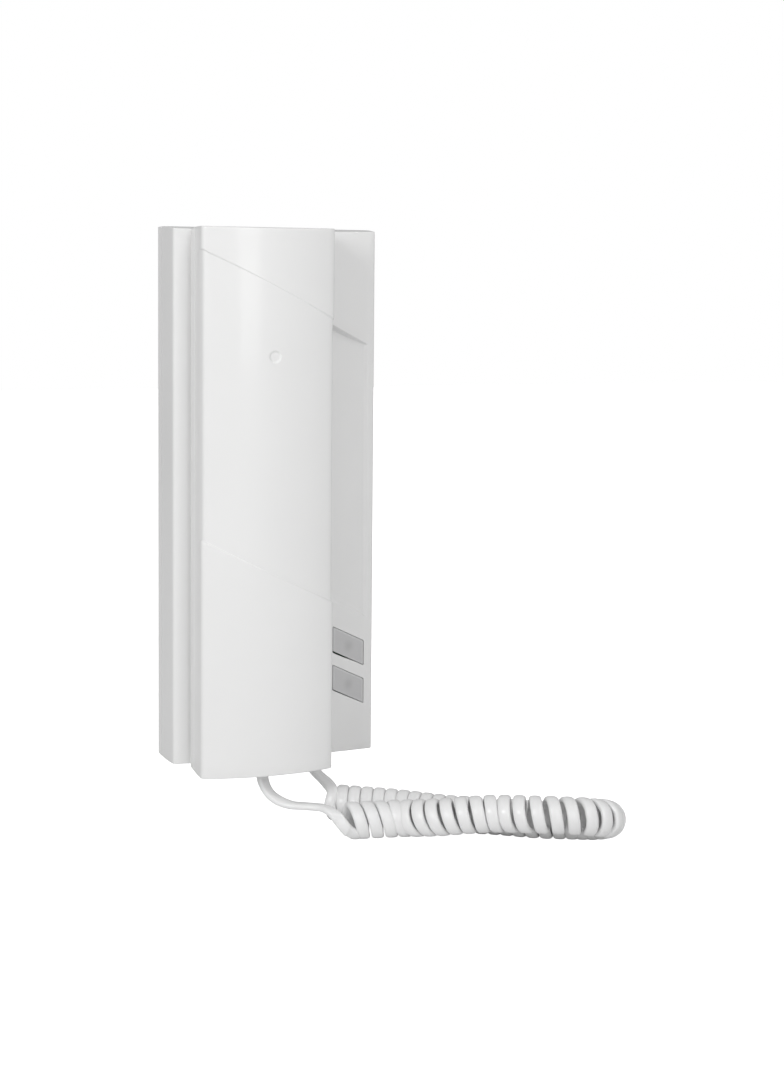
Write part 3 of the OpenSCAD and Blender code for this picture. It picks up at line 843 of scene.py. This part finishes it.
def handset_front():
    reach = DIMPLE_X - HANDSET_X + DIMPLE_R
    xs = (span_values(0, reach + 0.4, 0.22)
          + span_values(reach + 0.4, HANDSET_HALF - 2.6, 1.3)[1:])
    outline = front_outline(HANDSET_X, HANDSET_HALF, 0, HANDSET_SIDE_D, HANDSET_CROWN,
                            HANDSET_CORNER, SEAM_D, xs)
    tall = BAND_HIGH_Z - BAND_LOW_Z
    dimple_share = (DIMPLE_Z + BAND_SLOPE * DIMPLE_X - BAND_LOW_Z) / tall
    reach = (DIMPLE_R + 2) / tall
    shares = (span_values(0.02, dimple_share - reach, 0.018)
              + span_values(dimple_share - reach, dimple_share + reach, 0.24 / tall)[1:]
              + span_values(dimple_share + reach, 0.98, 0.018)[1:])

    def edge_width(x):
        return 0.3 + 0.35 * abs(x - HANDSET_X) / HANDSET_HALF

    rows = band_rows(handset_end, HANDSET_FILLET, edge_width, edge_width, shares)
    obj = shell("handset_front_case", outline, handset_end, rows, handset_relief,
                HANDSET_FILLET)
    carve(obj, [plug_opening("handset_cord_plug")], "DIFFERENCE")
    return dress(obj, WHITE, "handset", "white_shell", "handset_front_shell")


def rounded_cup(x, z, r, rim=1.4):
    """Cup that stands out of the handset's back, with a rounded rim and a shallow dish."""
    profile = [(0, CUP_FACE_D + 0.7), (r * 0.35, CUP_FACE_D + 0.62),
               (r * 0.7, CUP_FACE_D + 0.28), (r - rim - 1.2, CUP_FACE_D + 0.03)]
    profile += [(r - rim + rim * math.sin(a), CUP_FACE_D + rim - rim * math.cos(a))
                for a in (math.pi / 2 * i / 6 for i in range(7))]
    profile += [(r, HANDSET_REAR_D - 0.5), (r, HANDSET_REAR_D + 1.2), (0, HANDSET_REAR_D + 1.2)]
    return lathe(x, z, profile)


def hook_bar(grow, near_d, far_d):
    """Bar along the lift direction, for the cradle hook and its slot."""
    rise = math.tan(LIFT_ANGLE)
    z0 = HOOK_Z + (near_d - BASE_PEAK_D) * rise
    z1 = HOOK_Z + (far_d - BASE_PEAK_D) * rise
    half = (HOOK_HALF_H + grow) / math.cos(LIFT_ANGLE)
    wide = HOOK_HALF_W + grow
    points = [(HANDSET_X + s * wide, d, z + t * half)
              for s in (-1, 1) for d, z in ((near_d, z0), (far_d, z1)) for t in (-1, 1)]
    return mesh_object("hook", points, [(0, 1, 3, 2), (4, 5, 7, 6), (0, 1, 5, 4), (2, 3, 7, 6),
                                        (0, 2, 6, 4), (1, 3, 7, 5)])


def sound_hole(ring_r, angle, z, r=SOUND_HOLE_R):
    """Cutter for a hole through a cup's face, on a ring round the cup's middle."""
    return post(EAR_X + ring_r * math.sin(angle), z + ring_r * math.cos(angle), r, 22, 28, 16)


def handset_rear():
    outline = rear_outline(HANDSET_X, HANDSET_HALF, HANDSET_REAR_D, HANDSET_REAR_CORNER,
                           SEAM_D - 0.05, 2.0)
    rows = [(lambda x, d, s=share: s * (handset_end(d) - HANDSET_FILLET), 0)
            for share in span_values(-0.98, 0.98, 0.028)]
    obj = shell("handset_rear_case", outline, handset_end, rows, lambda *_: 0,
                HANDSET_FILLET)
    carve(obj, [rounded_cup(EAR_X, EAR_Z, EAR_R), rounded_cup(EAR_X, MOUTH_Z, MOUTH_R)]
          + [post(HANDSET_X, z, SCREW_BOSS_R, 31.2, 36) for z in HANDSET_SCREW_Z], "UNION")
    holes = [sound_hole(0, 0, EAR_Z), sound_hole(0, 0, MOUTH_Z, 1)]
    for count, r in SOUND_RINGS:
        holes += [sound_hole(r, math.tau * i / count, EAR_Z) for i in range(count)]
    carve(obj, [post(EAR_X, EAR_Z, EAR_HOLLOW_R, CUP_INSIDE_D, HANDSET_INSIDE_D),
                post(EAR_X, MOUTH_Z, MOUTH_HOLLOW_R, CUP_INSIDE_D, HANDSET_INSIDE_D),
                hook_bar(HOOK_GAP, BASE_PEAK_D - 2, 37), plug_opening("handset_cord_plug")]
          + [post(HANDSET_X, z, SCREW_HEAD_R, 28, SCREW_SEAT_D) for z in HANDSET_SCREW_Z],
          "DIFFERENCE")
    carve(obj, holes + [post(HANDSET_X, z, SCREW_SHANK_R, 33, HANDSET_INSIDE_D)
                        for z in HANDSET_SCREW_Z], "DIFFERENCE")
    return dress(obj, WHITE, "handset", "white_shell", "handset_rear_shell")


handset_front()
handset_rear()


# ---------------------------------------------------------------- wall unit

base_end = domed_end(BASE_BULGE, BASE_BULGE_D, BASE_BULGE_REACH)
BASE_FILLET = 0.4
BASE_CROWN = BASE_PEAK_D - BASE_SIDE_D
BASE_RADIUS = bow_radius(BASE_HALF, BASE_CROWN)


def base_front_d(x, out=0.0):
    """Depth of the wall unit's front at x, moved outwards by out."""
    r = BASE_RADIUS + out
    return BASE_PEAK_D - BASE_RADIUS + math.sqrt(r * r - x * x)


def recess_depth(x):
    """How far the recess beside the handset lies below the front."""
    if not RECESS_LEFT - 0.4 < x < RECESS_RIGHT:
        return 0.0
    floor_d = RECESS_EDGE_D + RECESS_TILT * (RECESS_RIGHT - x)
    edge = min(1, (RECESS_RIGHT - x) / RECESS_RIGHT_WALL, (x - RECESS_LEFT + 0.4) / 0.4)
    return max(0.0, base_front_d(x) - floor_d) * edge


def base_relief(x, depth, facing, z, weight):
    """The recess's depth, which is greatest along its upper edge."""
    if facing <= 0.9:
        return 0.0
    down = (BAND_HIGH_Z - BAND_SLOPE * x - z) / (BAND_HIGH_Z - BAND_LOW_Z)
    fall = (RECESS_TOP_SHARE - RECESS_LOW_SHARE) * smooth(down * 1.3)
    return weight * recess_depth(x) * (RECESS_TOP_SHARE - fall)


KEY_X, _, DOOR_KEY_Z = centre_mm("door_key_actuator")
LIGHT_KEY_Z = centre_mm("light_key_actuator")[2]
KEY_W = 13.5
KEY_H = 9.6
KEY_CORNER = 0.5
KEY_GAP = 0.22
PLUNGER_Z = -38
PLUNGER_GUIDE_R = 5.0
PLUNGER_BORE_R = 3.15
RINGER_Z = 5
SLOT_STEP = 4
SLOT_HALF_W = 9
SLOT_HALF_H = 0.8
COVER_SCREW_HOLE_R = 1.7


def key_chain(z, grow, corner):
    """Places across a key and its lower and upper edge, with rounded corners."""
    half_w = KEY_W / 2 + grow
    half_h = KEY_H / 2 + grow
    cx = KEY_X
    xs = [cx - half_w + corner * (1 - math.cos(math.pi / 2 * i / 5)) for i in range(6)]
    xs += span_values(cx - half_w + corner, cx, (half_w - corner) / 7)[1:-1]
    xs += [cx] + [2 * cx - x for x in reversed(xs)]

    def half(x):
        inside = corner - (half_w - abs(x - cx))
        cut = corner - math.sqrt(max(corner ** 2 - inside ** 2, 0)) if inside > 0 else 0
        return half_h - cut

    return (xs, lambda x: z - BAND_SLOPE * (x - cx) - half(x),
            lambda x: z - BAND_SLOPE * (x - cx) + half(x))


def base_cover():
    xs = (span_values(0, 12.4, 1.55) + [12.6, 12.8, 13.0] + span_values(13.4, 35.2, 1.36)
          + [35.5, 35.7, 36.3, 36.9, 37.35, 37.5, 37.65, 38.0])
    outline = front_outline(0, BASE_HALF, BASE_FLARE, BASE_SIDE_D, BASE_CROWN, BASE_CORNER,
                            COVER_START_D, xs)
    rows = band_rows(base_end, BASE_FILLET,
                     lambda x: 0.2 + RECESS_LOW_SHARE * recess_depth(x) * RECESS_LOW_WALL,
                     lambda x: 0.2 + RECESS_TOP_SHARE * recess_depth(x) * RECESS_TOP_WALL,
                     span_values(0.04, 0.96, 0.02))
    obj = shell("wall_unit_cover", outline, base_end, rows, base_relief, BASE_FILLET)

    def inside(x):
        return base_front_d(x) - 1

    wells = [(EAR_Z, EAR_R + WELL_GAP), (MOUTH_Z, MOUTH_R + WELL_GAP)]
    carve(obj, [stadium(HANDSET_X, z, r + WELL_WALL, WELL_RISE,
                        lambda x: WELL_FLOOR_D - WELL_WALL, inside) for z, r in wells]
          + [hook_bar(0, BASE_PEAK_D - 1.2, HOOK_TIP_D),
             post(HANDSET_X, PLUNGER_Z, PLUNGER_GUIDE_R, 23, 27.4)], "UNION")
    cuts = [stadium(HANDSET_X, z, r, WELL_RISE, lambda x: WELL_FLOOR_D, lambda x: 34)
            for z, r in wells]
    for z, slack in ((DOOR_KEY_Z, 0.55), (LIGHT_KEY_Z, 0.2)):
        xs, low, high = key_chain(z, KEY_GAP, KEY_CORNER)
        cuts.append(ladder(xs, lambda x: low(x) - slack * smooth((KEY_X + 5 - x) / 11), high,
                           lambda x: 18, lambda x: 30))
    slots = [RINGER_Z + SLOT_STEP * i for i in range(-2, 3)]
    cuts += [block(HANDSET_X - SLOT_HALF_W, HANDSET_X + SLOT_HALF_W, 24, 32, z - SLOT_HALF_H,
                   z + SLOT_HALF_H) for z in slots]
    cuts += [post(HANDSET_X, PLUNGER_Z, PLUNGER_BORE_R, 20, 32), plug_opening("base_cord_plug")]
    carve(obj, cuts, "DIFFERENCE")
    carve(obj, [post(HANDSET_X, z, COVER_SCREW_HOLE_R, 18, 26) for z, _ in wells], "DIFFERENCE")
    return dress(obj, WHITE, "wall_unit", "white_shell", "base_cover")


KEY_BEVEL = 0.6


def key(name, z, body):
    """Key cap with a bevelled rim round a smooth field; the rim takes a lighter key grey as a
    painted highlight.
    """
    layers = [(0.0, -3.0), (0.0, -0.25), (0.06, -0.17), (KEY_BEVEL, -0.01), (KEY_BEVEL + 0.1, 0.0)]
    points, faces = [], []
    for inset, out in layers:
        xs, low, high = key_chain(z, -inset, KEY_CORNER)
        points += [(x, base_front_d(x, 0.2) + out, low(x)) for x in xs]
        points += [(x, base_front_d(x, 0.2) + out, high(x)) for x in reversed(xs)]
    n = 2 * len(xs)
    for k in range(len(layers) - 1):
        faces += [(k * n + i, k * n + (i + 1) % n, (k + 1) * n + (i + 1) % n, (k + 1) * n + i)
                  for i in range(n)]
    field = len(faces)
    for start in ((len(layers) - 1) * n, 0):
        faces += [(start + i, start + i + 1, start + n - 2 - i, start + n - 1 - i)
                  for i in range(n // 2 - 1)]
    cap = mesh_object(name + "_cap", points, faces)
    # The sides and bevel take the lighter grey as a painted highlight; the field keeps the plain
    # key grey.
    dress(cap, KEY_RIM_HIGHLIGHT, body, "grey_key", name)
    cap.data.materials.append(KEY_FIELD)
    for face in cap.data.polygons[field:field + n // 2 - 1]:
        face.material_index = 1


base_cover()
key("door_key", DOOR_KEY_Z, "door_key_body")
key("light_key", LIGHT_KEY_Z, "light_key_body")


# ---------------------------------------------------------------- carried-over CAD nodes

NODE_MATERIALS = {
    WHITE: ["wall_plate", "hook_plunger"],
    STEEL: ["cover_screws", "board_screws", "terminal_screws", "hook_spring", "handset_screws",
            "weight_screws", "handset_weight", "microphone_capsule"],
    BLACK: ["board_chip", "board_capacitors", "ringer_speaker", "hook_switch", "tact_switches",
            "receiver_capsule", "base_cord_socket", "handset_cord_socket"],
    BOARD: ["circuit_board"],
    CLEAR: ["base_cord_plug", "handset_cord_plug"],
    GREY_BLOCK: ["terminal_block"],
    IVORY: ["door_key_actuator", "light_key_actuator"],
    FOAM: ["ringer_gasket", "receiver_foam_ring", "microphone_boot"],
    WIRE: ["ringer_wires", "receiver_wires", "microphone_wires"],
}
for material, names in NODE_MATERIALS.items():
    for name in names:
        for material_slot in nodes[name].material_slots:
            material_slot.material = material
